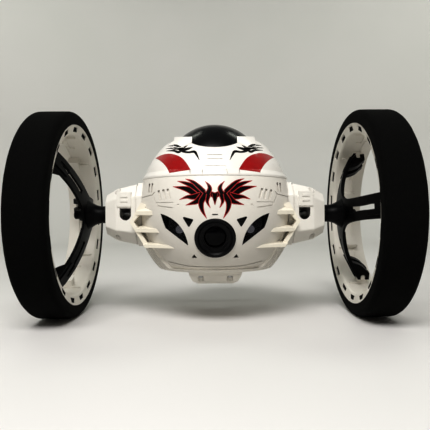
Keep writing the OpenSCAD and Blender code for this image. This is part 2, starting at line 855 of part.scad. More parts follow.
module lower_shell() {
  color("#e9e6e0") difference() {
    intersection() {
      sphere(ball_r);
      lower_region();
    }
    difference() {
      sphere(ball_r - wall - 0.2);
      block([-big, -big, floor_z - 1], [big, big, floor_z + wall]);
    }
    for (g = [[-30.4, 1.5, 1.2], [-26.8, 1.7, 1.2], [-21.6, 2.6, 1.6]]) intersection() {
      ball_groove(g[0], g[1], g[2]);
      block([-big, -big, -big], [big, big, -8]);
    }
    mirrored() for (y = [-30.4, -26.6]) intersection() {
      ball_groove(y, 0.9, 5);
      block([38, -35, -41], [57, -20, -24.6]);
    }
    for (y = [-19.4 : 2 : -11]) intersection() {
      ball_groove(y, 0.8, 0.6);
      block([-big, -big, -40], [big, big, -12]);
    }
    block([-17, -34, floor_z - 1], [17, 9, floor_z + 4]);
    block([-15.2, 13.6, floor_z - 20], [15.2, 70, -33]);
    rear_hatch(0);
    for (x = [-11, 11]) translate([x, -38, floor_z - 2]) cylinder(r = 1.3, h = 12);
    for (x = [-30, 30]) translate([x, 24, floor_z - 1]) cylinder(r = 3, h = 2);
    for (a = [-36, -44]) ball_groove(-a, 0.8, 0.6);
  }
}

// Round hatch at the back with the charging socket, the switch and two screws
module rear_cover() {
  color("#d9d7d3") difference() {
    intersection() {
      ball_shell(ball_r, wall);
      rear_hatch(0.15);
    }
    front_view(40, 80) translate(socket_at) circle(3.1);
    front_view(40, 80) translate(switch_at - [7, 3.6]) square([14, 7.2]);
    mirrored() front_view(40, 80) translate([21, 2]) circle(1.3);
    mirrored() front_view(59.4, 80) translate([21, 2]) circle(2.1);
    for (i = [-2 : 2]) front_view(40, 80) translate([-8, 15 + i * 2.6]) square([16, 1.2]);
  }
}

socket_at = [10, -12];
switch_at = [-7, -12];

module charge_socket() {
  color("#101012") front_view(50, 61.6) translate(socket_at) difference() {
    circle(3);
    circle(1.75);
  }
  color("#101012") front_view(48, 50) translate(socket_at) square([8, 7], center = true);
}

module switch_frame() {
  slider_room = [9.4, 3.4];
  color("#101012") difference() {
    front_view(53, 62) translate(switch_at) square([13.6, 6.8], center = true);
    front_view(55, 63) translate(switch_at) square(slider_room, center = true);
  }
}

module switch_slider() {
  color("#c02020") difference() {
    front_view(55.1, 64) translate(switch_at - [4.5, 1.5]) square([4.4, 3]);
    for (x = [-3.6, -2.4, -1.2]) front_view(63.4, 65) translate(switch_at + [x - 0.2, -2]) square([0.4, 4]);
  }
}

// ---------------------------------------------------------------- battery

// Front view of the pod under the belly
module pod_outline(less) {
  polygon([
    [-21 + less, pod_z + 13], [21 - less, pod_z + 13], [19.6 - less, pod_z + 7], [17.4 - less, pod_z + 2.6],
    [13.6, pod_z + less], [-13.6, pod_z + less], [-17.4 + less, pod_z + 2.6], [-19.6 + less, pod_z + 7]
  ]);
}

module battery_door() {
  nose = [[-41, 13], [-40, 7], [-37, 2.4], [-32, 0], [9, 0], [12.4, 2], [13.2, 7], [13.2, 13]];
  color("#e2dfd8") difference() {
    intersection() {
      front_view(-42, 14) pod_outline(0);
      translate([0, 0, pod_z]) along_x(-30) linear_extrude(60) polygon(nose);
      block([-big, -big, -big], [big, big, floor_z - gap]);
    }
    block([-17.6, -34.4, pod_z + 1.6], [17.6, 9.6, -36]);
    for (x = [-11, 11]) translate([x, -38, pod_z - 3]) {
      cylinder(r = 1.3, h = 20);
      cylinder(r = 2.4, h = 10);
    }
    for (y = [-24 : 3 : -12]) block([-9, y, pod_z - 0.6], [9, y + 1.2, pod_z + 0.4]);
  }
}

module screw(length, head_r, shank_r) {
  difference() {
    union() {
      cylinder(r = shank_r, h = length);
      translate([0, 0, -1.4]) cylinder(r = head_r, h = 1.4);
    }
    for (a = [0, 90]) rotate(a) translate([-head_r * 0.65, -0.25, -2]) cube([head_r * 1.3, 0.5, 1.2]);
  }
}

module battery_door_screws() {
  color("#8e8f90") for (x = [-11, 11]) translate([x, -38, pod_z + 7 - gap]) screw(7, 2, 1);
}

module battery_pack() {
  color("#2a5ea8") for (y = [-33, -11.8]) block([-16.6, y, pod_z + 1.8], [16.6, y + 20.6, pod_z + 12]);
  color("#2a5ea8") block([-16, -12.6, pod_z + 3], [16, -11.6, pod_z + 11]);
}

// ---------------------------------------------------------------- electronics and fasteners

module main_board() {
  chips = [[-12, -8, 11, 9], [8, 2, 7, 7], [-6, 14, 12, 5], [16, -12, 6, 8]];
  color("#1e6b3a") difference() {
    block([-34, -22, 24], [34, 33, 25.6]);
    for (x = [-30, 30], y = [-18, 29]) translate([x, y, 20]) cylinder(r = 1.5, h = 10);
  }
  color("#222222") for (c = chips) block([c[0], c[1], 25.6 + gap], [c[0] + c[2], c[1] + c[3], 27.2]);
}

// Screws that show: two in each arm's wells and two in the rear cover
module shell_screws() {
  color("#8e8f90") mirrored() {
    translate([78, -15, -15 - gap]) screw(5, 1.8, 0.9);
    translate([21, 59.4, 2]) rotate([90, 0, 0]) screw(6, 2, 1);
  }
}

// ---------------------------------------------------------------- kicker

module kicker_bracket() {
  bottom = floor_z + wall + 0.2;
  plate = 2;
  half = 15.6;
  color("#303236") difference() {
    union() {
      for (x = [-half - plate, half]) along_x(x) linear_extrude(plate)
        polygon([[-8, bottom], [30, bottom], [33, -38], [28, -24], [19, -9], [-8, -9]]);
      along_x(2.4) linear_extrude(1.6)
        polygon([[-8, bottom], [8, bottom], [13, -28], [19, -22], [19, -9], [-8, -9]]);
      block([-half - plate, -8, bottom], [half + plate, 8, bottom + 1.4]);
      block([-half - plate, -8, bottom], [half + plate, -6, -9]);
    }
    rod(pivot, kick_pin_r + gap, -20, 20);
    rod(winder_pos, 1 + gap, 0, 20);
    rod(kick_motor_pos, 3 + gap, 0, 5);
  }
}

module kicker_pins() {
  color("#b9bbbd") rod(pivot, kick_pin_r, -17.6, 17.6);
  color("#b9bbbd") rod(winder_pos, 1, 2.4, 17.6);
}

// Closed spring wire: turns of radius r round +Z, rising by pitch each turn
module coil(r, wire, turns, pitch) {
  steps = 18;
  sides = 8;
  rings = turns * steps;
  function at(i) = [r * cos(i * 360 / steps), r * sin(i * 360 / steps), pitch * i / steps];
  points = [for (i = [0 : rings], k = [0 : sides - 1])
    at(i) + wire * (cos(k * 360 / sides) * [cos(i * 360 / steps), sin(i * 360 / steps), 0]
      + sin(k * 360 / sides) * [0, 0, 1])];
  walls = [for (i = [0 : rings - 1], k = [0 : sides - 1]) let (a = i * sides, n = (k + 1) % sides)
    [a + k, a + sides + k, a + sides + n, a + n]];
  start = [for (k = [0 : sides - 1]) k];
  end = [for (k = [sides - 1 : -1 : 0]) rings * sides + k];
  polyhedron(points, concat(walls, [start, end]), convexity = 10);
}

module kicker_springs() {
  color("#9c9ea0") for (x = [-9.2, -3.4]) along_x(x) translate(pivot) coil(4.2, 0.45, 5, 0.92);
}

module kicker_motor() { color("#b4b6b8") small_motor(kick_motor_pos, 8, 6, -13.4, 2.4); }

// Side view of one kicker leg, from the pivot to the foot, with a slight knee
module leg_outline() {
  knee = pivot + 0.55 * (foot - pivot) + [0, 2.5];
  hull() {
    translate(pivot) circle(5, $fn = 40);
    translate(knee) circle(3.8, $fn = 40);
  }
  hull() {
    translate(knee) circle(3.8, $fn = 40);
    translate(foot) circle(3.4, $fn = 40);
  }
}

module kicker_arm() {
  hub_r = 3.1;
  brace = pivot + 0.5 * (foot - pivot) + [0, 2.4];
  color("#e6e2dc") difference() {
    union() {
      for (x = [-leg_x - leg_w, leg_x]) along_x(x) linear_extrude(leg_w) leg_outline();
      rod(pivot, hub_r, -14.8, 14.8);
      rod(foot, foot_bar_r, -18, 18);
      rod(brace, 2.4, -12, 12);
      along_x(5.4) linear_extrude(3.4) translate(pivot) polygon(concat([[0, 0]], gear_sector()));
      rod(pivot, 6, 5.4, 8.8);
    }
    rod(pivot, kick_pin_r + run, -20, 20);
  }
}

// The kicker's toothed sector, from just past the winding pinion round to where the kick ends
function gear_sector() =
  let (pitch = 360 / sector_teeth, a = winder_turn - pitch)
  [for (p = gear_points(sector_teeth, sector_m, sector_cut))
    [p[0] * cos(a) - p[1] * sin(a), p[0] * sin(a) + p[1] * cos(a)]];

// Rubber sleeves on the kicker's cross bar: one between the legs and one outside each
module kicker_foot() {
  color("#181818")
    for (x = [[-leg_x + 0.2, leg_x - 0.2], [leg_x + leg_w + 0.2, 18.4], [-18.4, -leg_x - leg_w - 0.2]])
    difference() {
      rod(foot, foot_r, x[0], x[1]);
      rod(foot, foot_bar_r + gap, x[0] - 1, x[1] + 1);
      for (a = [0 : 40 : 320]) along_x(x[0] - 1) translate(foot) rotate(a) translate([foot_r, 0])
        cylinder(r = 0.5, h = 40);
    }
}

module winding_gear() {
  color("#e6e2d6") difference() {
    union() {
      along_x(9.6) translate(winder_pos)
        gear(winder_teeth, winder_m, 3, kick_motor_turn + 180 / winder_teeth);
      along_x(5) translate(winder_pos)
        gear(pinion_teeth, sector_m, 4.7, meshed(winder_turn, pinion_teeth));
      rod(winder_pos, 2.4, 4.2, 15.2);
    }
    rod(winder_pos, 1 + run, 0, 20);
  }
}

module kicker_motor_pinion() {
  color("#c8a860") {
    rod(kick_motor_pos, 1, -6, 13.4);
    difference() {
      along_x(9.4) translate(kick_motor_pos) gear(pinion_teeth, winder_m, 3.6, kick_motor_turn + 180);
      rod(kick_motor_pos, 1, -6, 13.4);
    }
  }
}

// ---------------------------------------------------------------- nodes

at_axle() {
  upper_shell();
  dome_cover();
  dome_insert();
  face_plate();
  lens_bezel();
  lens_glass();
  camera_module();
  headlight_window(LEFT);  // headlight_window_left
  headlight_window(RIGHT);  // headlight_window_right
  headlight_leds();
  sensor_windows();
  cheek(LEFT);  // cheek_left
  cheek(RIGHT);  // cheek_right
  lower_shell();
  rear_cover();
  arm_upper(LEFT);  // arm_upper_left
  arm_lower(LEFT);  // arm_lower_left
  arm_upper(RIGHT);  // arm_upper_right
  arm_lower(RIGHT);  // arm_lower_right
  gearbox_frame(LEFT);  // gearbox_frame_left
  gearbox_frame(RIGHT);  // gearbox_frame_right
  drive_motor(LEFT);  // drive_motor_left
  drive_motor(RIGHT);  // drive_motor_right
  axle_bush(LEFT);  // axle_bush_left
  axle_bush(RIGHT);  // axle_bush_right
  idler_pins();
  main_board();
  battery_pack();
  shell_screws();
  charge_socket();
  switch_frame();
  switch_slider();
  battery_door();
  battery_door_screws();
  kicker_bracket();
  kicker_pins();
  kicker_springs();
  kicker_motor();
  kicker_arm();
  kicker_foot();
  winding_gear();
  kicker_motor_pinion();
  axle(LEFT);  // axle_left
  axle(RIGHT);  // axle_right
  drive_gear(LEFT);  // drive_gear_left
  drive_gear(RIGHT);  // drive_gear_right
  wheel_spider(LEFT);  // wheel_spider_left
  wheel_spider(RIGHT);  // wheel_spider_right
  rim(LEFT);  // rim_left
  rim(RIGHT);  // rim_right
  tyre(LEFT);  // tyre_left
  tyre(RIGHT);  // tyre_right
  hub_cap(LEFT);  // hub_cap_left
  hub_cap(RIGHT);  // hub_cap_right
  idler_gear(LEFT);  // idler_gear_left
  idler_gear(RIGHT);  // idler_gear_right
  motor_pinion(LEFT);  // motor_pinion_left
  motor_pinion(RIGHT);  // motor_pinion_right
  spoke_screws(LEFT);  // spoke_screws_left
  spoke_screws(RIGHT);  // spoke_screws_right
}
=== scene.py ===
import json
import math
import bpy
import bmesh
from mathutils import Matrix, Vector
from mathutils.bvhtree import BVHTree
from mathutils.geometry import convex_hull_2d


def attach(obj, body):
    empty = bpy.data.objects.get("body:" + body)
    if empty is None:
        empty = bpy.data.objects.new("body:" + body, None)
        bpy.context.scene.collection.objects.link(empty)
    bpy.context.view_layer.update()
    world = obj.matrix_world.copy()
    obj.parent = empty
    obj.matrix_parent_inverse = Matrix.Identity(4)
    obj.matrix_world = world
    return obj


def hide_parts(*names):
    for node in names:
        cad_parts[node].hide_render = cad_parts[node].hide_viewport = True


# Looks for the two wheel robot car: materials, foam tyres, decals, studio and camera, all round the
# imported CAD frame.

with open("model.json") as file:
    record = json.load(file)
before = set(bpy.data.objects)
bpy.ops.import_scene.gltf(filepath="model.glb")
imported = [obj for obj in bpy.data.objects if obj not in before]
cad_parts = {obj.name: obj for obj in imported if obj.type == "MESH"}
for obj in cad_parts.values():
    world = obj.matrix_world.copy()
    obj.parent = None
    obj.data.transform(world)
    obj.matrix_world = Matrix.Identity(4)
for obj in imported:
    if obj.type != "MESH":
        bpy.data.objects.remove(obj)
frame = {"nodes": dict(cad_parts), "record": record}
bpy.context.view_layer.update()
NODES = frame["nodes"]
SLOT_OF = {p["node"]: p["material_slot"] for p in frame["record"]["subparts"]}
MM = 0.001
WHEEL_X = 113 * MM      # inboard face of a wheel
AXLE_Z = 85 * MM
SIDES = (("left", -1), ("right", 1))
CAMERA_AWAY = 0.3965    # in front of the axle, level with it
LENS = 39.56
SHIFT = -1 / 430
ROLL = -0.38            # in degrees
WORLD_LIGHT = 0.16


# ---------------------------------------------------------------- node helpers

class Tree:
    """A material's node tree, with short calls that add and join nodes."""

    def __init__(self, name):
        self.material = bpy.data.materials.new(name)
        self.material.use_nodes = True
        self.tree = self.material.node_tree
        self.tree.nodes.clear()
        self.output = self.add("ShaderNodeOutputMaterial")

    def add(self, kind, inputs=None, **settings):
        node = self.tree.nodes.new(kind)
        for key, value in settings.items():
            setattr(node, key, value)
        for key, value in (inputs or {}).items():
            self.put(node.inputs[key], value)
        return node

    def put(self, socket, value):
        if isinstance(value, bpy.types.NodeSocket):
            self.tree.links.new(value, socket)
        else:
            socket.default_value = value

    def noise(self, scale, detail=3.0, rough=0.5, distortion=0.0, at=None):
        node = self.add("ShaderNodeTexNoise", {"Scale": scale, "Detail": detail, "Roughness": rough,
                                               "Distortion": distortion})
        self.put(node.inputs["Vector"], at or self.place())
        return node.outputs["Fac"]

    def place(self):
        if not hasattr(self, "coords"):
            self.coords = self.add("ShaderNodeTexCoord").outputs["Object"]
        return self.coords

    def spread(self, value, low, high, start=0.3, end=0.7):
        node = self.add("ShaderNodeMapRange", {"From Min": start, "From Max": end,
                                               "To Min": low, "To Max": high})
        self.put(node.inputs["Value"], value)
        return node.outputs["Result"]

    def mix(self, factor, a, b):
        node = self.add("ShaderNodeMix", data_type="RGBA")
        self.put(node.inputs[0], factor)
        self.put(node.inputs[6], a)
        self.put(node.inputs[7], b)
        return node.outputs[2]

    def math(self, kind, a, b=0.0):
        node = self.add("ShaderNodeMath", operation=kind)
        self.put(node.inputs[0], a)
        self.put(node.inputs[1], b)
        return node.outputs[0]

    def bump(self, height, distance, strength=1.0, normal=None):
        node = self.add("ShaderNodeBump", {"Height": height, "Distance": distance, "Strength": strength})
        if normal is not None:
            self.put(node.inputs["Normal"], normal)
        return node.outputs["Normal"]

    def rounded(self, radius):
        return self.add("ShaderNodeBevel", {"Radius": radius}, samples=6).outputs["Normal"]

    def edges(self, radius):
        """0 on flats and 1 along edges, from how far the rounded normal leans from the true one."""
        lean = self.add("ShaderNodeVectorMath", operation="DOT_PRODUCT")
        self.put(lean.inputs[0], self.rounded(radius))
        self.put(lean.inputs[1], self.add("ShaderNodeNewGeometry").outputs["Normal"])
        return self.spread(lean.outputs["Value"], 1.0, 0.0, 0.8, 0.99)

    def surface(self, **inputs):
        shader = self.add("ShaderNodeBsdfPrincipled")
        for key, value in inputs.items():
            self.put(shader.inputs[key.replace("_", " ")], value)
        self.put(self.output.inputs["Surface"], shader.outputs[0])
        return self.material


def srgb(r, g, b, alpha=1.0):
    """A colour picked on a screen, 0 to 255, as scene-linear."""
    def linear(c):
        c /= 255
        return c / 12.92 if c <= 0.04045 else ((c + 0.055) / 1.055) ** 2.4
    return (linear(r), linear(g), linear(b), alpha)


def shade(colour, factor):
    return tuple(min(1.0, c * factor) for c in colour[:3]) + (1.0,)


# ---------------------------------------------------------------- materials

def moulded(name, colour, rough, grain=0.5, coat=0.0, coat_rough=0.1, crevice_shade=0.05, edge=0.25, edge_gain=1.06,
            shine=0.5):
    """Injection-moulded plastic: cloudy tone, eroded grain, softened edges, a little painted shade in the
    corners.
    """
    t = Tree(name)
    cloud = t.noise(22, 4, 0.6)
    tone = t.mix(t.spread(cloud, 0, 1), shade(colour, 0.965), shade(colour, 1.02))
    # painted shade: an AO node darkens the colour in hollows, corners and grooves, made uneven by a fine
    # noise
    hollow = t.add("ShaderNodeAmbientOcclusion", {"Distance": 2.2 * MM}, samples=4).outputs["AO"]
    crevice_shade_mask = t.math("MULTIPLY", t.spread(hollow, crevice_shade * 6, 0.0, 0.15, 0.75), t.spread(t.noise(260, 3), 0.5, 1))
    tone = t.mix(crevice_shade_mask, tone, shade(colour, 0.55))
    tone = t.mix(t.math("MULTIPLY", t.edges(edge * MM), t.spread(t.noise(420, 2), 0.1, 0.9)),
                 tone, shade(colour, edge_gain))
    fine = t.noise(2600, 2, 0.6)
    wipe = t.noise(65, 5, 0.65, 0.4)
    return t.surface(
        Base_Color=tone, Roughness=t.spread(wipe, rough - 0.05, rough + 0.07),
        Normal=t.bump(fine, grain * 0.02 * MM, 0.5, t.rounded(edge * MM)),
        IOR=1.5, Specular_IOR_Level=shine, Coat_Weight=coat, Coat_Roughness=coat_rough, Coat_IOR=1.5)


def metal(name, colour, rough, brushed=False):
    """Plated or turned metal with fine marks and a duller bloom."""
    t = Tree(name)
    squeeze = (0.12, 1, 1) if brushed else (1, 1, 1)
    stretch = t.add("ShaderNodeMapping", {"Vector": t.place(), "Scale": squeeze})
    marks = t.noise(1800, 3, 0.7, at=stretch.outputs[0])
    bloom = t.noise(90, 4, 0.6)
    tone = t.mix(t.spread(bloom, 0, 1), shade(colour, 0.82), colour)
    return t.surface(Base_Color=tone, Metallic=1.0, Roughness=t.spread(bloom, rough, rough + 0.15),
                     Normal=t.bump(marks, 0.01 * MM, 0.6, t.rounded(0.12 * MM)))


def foam(name):
    """Black EVA foam: open cells, a slight bloom of dust and no shine."""
    t = Tree(name)
    cells = t.add("ShaderNodeTexVoronoi", {"Vector": t.place(), "Scale": 950.0, "Randomness": 1.0})
    crumbs = t.noise(1500, 4, 0.7)
    coarse = t.noise(60, 4, 0.6)
    height = t.math("ADD", t.math("MULTIPLY", cells.outputs["Distance"], 0.7),
                    t.math("MULTIPLY", crumbs, 0.9))
    tone = t.mix(t.spread(crumbs, 0, 1, 0.42, 0.72), srgb(4, 4, 4), srgb(15, 15, 14))
    tone = t.mix(t.spread(coarse, 0, 0.4), tone, srgb(10, 10, 9))
    return t.surface(Base_Color=tone, Roughness=t.spread(crumbs, 0.78, 0.96), Specular_IOR_Level=0.06,
                     Normal=t.bump(height, 0.22 * MM, 0.75))


def smoked(name, colour, rough, clear, shine, ior=1.49):
    """Tinted clear plastic: mostly dark, with what is behind it faintly showing."""
    t = Tree(name)
    wipe = t.noise(120, 4, 0.6, 0.5)
    tone = t.mix(t.spread(wipe, 0, 1), shade(colour, 0.8), shade(colour, 1.2))
    return t.surface(Base_Color=tone, Roughness=t.spread(wipe, rough, rough + 0.04), IOR=ior,
                     Transmission_Weight=clear, Specular_IOR_Level=shine,
                     Normal=t.bump(t.noise(40, 2), 0.02 * MM, 0.3, t.rounded(0.3 * MM)))


def circuit(name):
    """Green solder mask with tracks and pads."""
    t = Tree(name)
    tracks = t.add("ShaderNodeTexBrick", {"Vector": t.place(), "Scale": 160.0, "Mortar Size": 0.06,
                                          "Color1": srgb(12, 74, 38), "Color2": srgb(15, 84, 44),
                                          "Mortar": srgb(38, 122, 66)})
    return t.surface(Base_Color=tracks.outputs["Color"], Roughness=t.spread(t.noise(300, 2), 0.3, 0.45),
                     Normal=t.bump(tracks.outputs["Fac"], 0.05 * MM, 0.4), Coat_Weight=0.3)


def wrap(name, colour):
    """Shrink-wrapped film with faint creases."""
    t = Tree(name)
    crease = t.noise(140, 5, 0.7, 1.2)
    tone = t.mix(t.spread(crease, 0, 1), shade(colour, 0.85), shade(colour, 1.1))
    return t.surface(Base_Color=tone, Roughness=t.spread(crease, 0.25, 0.4),
                     Normal=t.bump(crease, 0.15 * MM, 0.5, t.rounded(0.3 * MM)), Coat_Weight=0.4)


def lamp_plastic(name, colour, glow):
    """The clear moulding of an LED, with a weak light of its own that shows it behind a dark window."""
    t = Tree(name)
    swirl = t.noise(300, 3, 0.6)
    tone = t.mix(t.spread(swirl, 0, 1), shade(colour, 0.85), colour)
    return t.surface(Base_Color=tone, Roughness=t.spread(swirl, 0.1, 0.25), Emission_Color=tone,
                     Emission_Strength=glow)


def printed(name, colour, rough=0.32, gloss=0.35):
    """Ink or foil of a decal, with a slightly uneven lay."""
    t = Tree(name)
    lay = t.noise(380, 4, 0.6)
    tone = t.mix(t.spread(lay, 0, 1), shade(colour, 0.86), shade(colour, 1.1))
    return t.surface(Base_Color=tone, Roughness=t.spread(lay, rough, rough + 0.1),
                     Normal=t.bump(t.noise(1500, 2), 0.008 * MM, 0.5), Coat_Weight=gloss, Coat_Roughness=0.12,
                     Specular_IOR_Level=gloss)


FINISH = {
    "shell_white": moulded("shell_white", srgb(238, 235, 230), 0.3, coat=0.35, coat_rough=0.16),
    "mask_white": moulded("mask_white", srgb(226, 222, 215), 0.42, coat=0.1, coat_rough=0.28),
    "shell_warm_white": moulded("shell_warm_white", srgb(233, 229, 221), 0.38, coat=0.15, coat_rough=0.22),
    "ivory_plastic": moulded("ivory_plastic", srgb(234, 228, 214), 0.42, coat=0.1, coat_rough=0.25),
    "arm_white": moulded("arm_white", srgb(233, 230, 224), 0.4, coat=0.12, coat_rough=0.25),
    "rim_white": moulded("rim_white", srgb(233, 229, 221), 0.42, grain=0.8),
    "kicker_white": moulded("kicker_white", srgb(228, 225, 218), 0.42),
    "gear_white": moulded("gear_white", srgb(226, 224, 214), 0.45),
    "black_plastic": moulded("black_plastic", srgb(5, 5, 6), 0.34, edge_gain=1.6, shine=0.12),
    "spider_black": moulded("spider_black", srgb(3, 3, 4), 0.4, edge_gain=2.0, shine=0.08),
    "frame_grey": moulded("frame_grey", srgb(120, 120, 118), 0.45),
    "switch_red": moulded("switch_red", srgb(170, 24, 20), 0.4),
    "rubber_black": moulded("rubber_black", srgb(28, 28, 28), 0.7, grain=2.0, edge_gain=1.5),
    "brass": metal("brass", srgb(196, 158, 84), 0.25),
    "steel": metal("steel", srgb(176, 176, 174), 0.28, brushed=True),
    "motor_steel": metal("motor_steel", srgb(160, 161, 160), 0.32, brushed=True),
    "spring_steel": metal("spring_steel", srgb(140, 141, 142), 0.3),
    "smoked_plastic": smoked("smoked_plastic", srgb(11, 12, 13), 0.2, 0.15, 0.3),
    "lens_glass": smoked("lens_glass", srgb(2, 2, 3), 0.06, 0.0, 0.08),
    "dark_window": smoked("dark_window", srgb(72, 72, 74), 0.03, 0.98, 0.2, 1.16),
    "led_clear": lamp_plastic("led_clear", srgb(222, 220, 224), 1.7),
    "foam_black": foam("foam_black"),
    "circuit_green": circuit("circuit_green"),
    "battery_blue": wrap("battery_blue", srgb(24, 58, 138)),
}
for node_name, piece in NODES.items():
    finish_of_node = FINISH[SLOT_OF[node_name]]
    for holder in piece.material_slots:
        holder.material = finish_of_node


# ---------------------------------------------------------------- pieces

def piece_of(name, bm, materials, body, smooth=True):
    """Makes a mesh object from bm that rides on a CAD body."""
    mesh = bpy.data.meshes.new(name)
    bmesh.ops.recalc_face_normals(bm, faces=bm.faces)
    bm.to_mesh(mesh)
    bm.free()
    for m in materials:
        mesh.materials.append(m)
    if smooth:
        mesh.polygons.foreach_set("use_smooth", [True] * len(mesh.polygons))
    obj = bpy.data.objects.new(name, mesh)
    bpy.context.scene.collection.objects.link(obj)
    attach(obj, body)
    return obj


def ripple(a, b, c):
    """A smooth, repeatable unevenness between -1 and 1."""
    return (math.sin(a * 3 + b * 5.3 + c) + math.sin(a * 7 - b * 2.1 + 2 * c)
            + math.sin(a * 17 + b * 11.7)) / 3


def tyre_profile():
    """Closed outline of the foam ring as (radius, width) in mm: rounded shoulders and a foot in the rim."""
    outer, inner, foot, width, corner = 84.9, 74.75, 68.5, 29.8, 4.4
    in_lip, in_foot, out_lip, crown = 2.0, 4.6, 3.0, 0.05
    bends, tread_steps, face_steps = 12, 10, 8
    face = outer - corner - inner
    points = []
    for k in range(bends + 1):
        a = math.pi / 2 * k / bends
        points.append((outer - corner + corner * math.sin(a), width - corner + corner * math.cos(a)))
    for k in range(1, tread_steps):
        points.append((outer + crown * math.sin(math.pi * k / tread_steps),
                       width - corner - (width - 2 * corner) * k / tread_steps))
    for k in range(bends + 1):
        a = math.pi / 2 * k / bends
        points.append((outer - corner + corner * math.cos(a), corner - corner * math.sin(a)))
    for k in range(1, face_steps):
        points.append((outer - corner - face * k / face_steps, 0.0))
    points += [(inner, 0.0), (inner, in_lip), (foot, in_foot), (foot, width / 2), (foot, width - out_lip),
               (inner, width - out_lip), (inner, width)]
    for k in range(1, face_steps):
        points.append((inner + face * k / face_steps, width))
    return points


def lugs(bm, side, sign):
    """The tyre's lugs, which show through the slots of the rim's inner flange."""
    count, middle, high, wide, start, deep = 18, 70.7, 3.9, 10.3, 2.0, 3.0
    first_turn = {"left": 4, "right": 10}[side]
    for k in range(count):
        turn = math.radians(first_turn + 360 * k / count)
        out = Vector((0, -math.cos(turn), math.sin(turn)))
        along = Vector((0, math.sin(turn), math.cos(turn)))
        block = bmesh.ops.create_cube(bm, size=1.0)["verts"]
        for v in block:
            x, r, w = start + (v.co.x + 0.5) * deep, middle + v.co.y * high, v.co.z * wide
            v.co = Vector((sign * (WHEEL_X + x * MM), 0, AXLE_Z)) + (out * r + along * w) * MM


def foam_tyre(side, sign):
    """The foam tyre as a turned ring, its faces slightly uneven, as cut foam is."""
    bm = bmesh.new()
    profile, turns = tyre_profile(), 240
    buried_r, unevenness, stand_off = 76, 0.06, 0.1     # in mm
    first_w, last_w = 0.5, 29.5
    rings = []
    for i in range(turns):
        a = 2 * math.pi * i / turns
        ring = []
        for k, (r, w) in enumerate(profile):
            push = unevenness * ripple(a * 4, k * 0.35, 1.0 + sign) if r > buried_r else 0.0
            x = sign * (WHEEL_X + (w + stand_off + (push if first_w < w < last_w else 0.0)) * MM)
            radius = (r + push) * MM
            ring.append(bm.verts.new((x, radius * math.cos(a), AXLE_Z + radius * math.sin(a))))
        rings.append(ring)
    count = len(profile)
    for i in range(turns):
        near, far = rings[i], rings[(i + 1) % turns]
        for k in range(count):
            bm.faces.new((near[k], near[(k + 1) % count], far[(k + 1) % count], far[k]))
    lugs(bm, side, sign)
    tyre = piece_of(f"foam_tyre_{side}", bm, [FINISH["foam_black"]], f"wheel_{side}")
    tyre.data.set_sharp_from_angle(angle=math.radians(50))
    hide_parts(f"tyre_{side}")


for side_name, side_sign in SIDES:
    foam_tyre(side_name, side_sign)

INK_RED = printed("ink_red", srgb(168, 18, 22))
INK_BLACK = printed("ink_black", srgb(10, 8, 9), gloss=0.05)
FOIL_RED = printed("foil_red", srgb(158, 8, 12), 0.3)
LIFT = 0.06 * MM
graph = bpy.context.evaluated_depsgraph_get()
SURFACE = {n: BVHTree.FromObject(NODES[n], graph) for n in ("face_plate", "upper_shell")}


def on_front(tree, x, z, lift=LIFT):
    """The point of a front surface straight behind (x, z), in mm from the axle's middle, lifted by a hair."""
    hit, normal, _, _ = tree.ray_cast(Vector((x * MM, -0.2, AXLE_Z + z * MM)), Vector((0, 1, 0)))
    if hit is None:
        return None
    if normal.y > 0:
        normal = -normal
    return hit + normal * lift


def catmull(points, steps):
    """A smooth line through points of any dimension."""
    ends = [points[0], *points, points[-1]]
    out = []
    for i in range(1, len(ends) - 2):
        p0, p1, p2, p3 = (Vector(q) for q in ends[i - 1:i + 3])
        for k in range(steps):
            t = k / steps
            out.append(0.5 * (2 * p1 + (p2 - p0) * t + (2 * p0 - 5 * p1 + 4 * p2 - p3) * t * t
                              + (3 * p1 - p0 - 3 * p2 + p3) * t ** 3))
    out.append(Vector(points[-1]))
    return out


def stroke_sheet(bm, tree, line, mirror, rim, ink, lift):
    """A tapering brush stroke laid on a front surface, rim narrower all round than line says.
    line holds (x, z, half width) in mm."""
    shares = (-1.0, -0.5, 0.0, 0.5, 1.0)
    thinnest, steps = 0.05, 10
    path = catmull([(p[0] * mirror, p[1], p[2]) for p in line], steps)
    rows = []
    for i, p in enumerate(path):
        wide = p[2] - rim
        if wide < thinnest:
            rows.append([None] * len(shares))
            continue
        ahead, behind = path[min(i + 1, len(path) - 1)], path[max(i - 1, 0)]
        across = Vector((-(ahead[1] - behind[1]), ahead[0] - behind[0]))
        across.normalize()
        row = []
        for share in shares:
            q = on_front(tree, p[0] + across.x * wide * share, p[1] + across.y * wide * share, lift)
            row.append(None if q is None else bm.verts.new(q))
        rows.append(row)
    for a, b in zip(rows, rows[1:]):
        for k in range(len(shares) - 1):
            corners = (a[k], a[k + 1], b[k + 1], b[k])
            if None not in corners:
                bm.faces.new(corners).material_index = ink


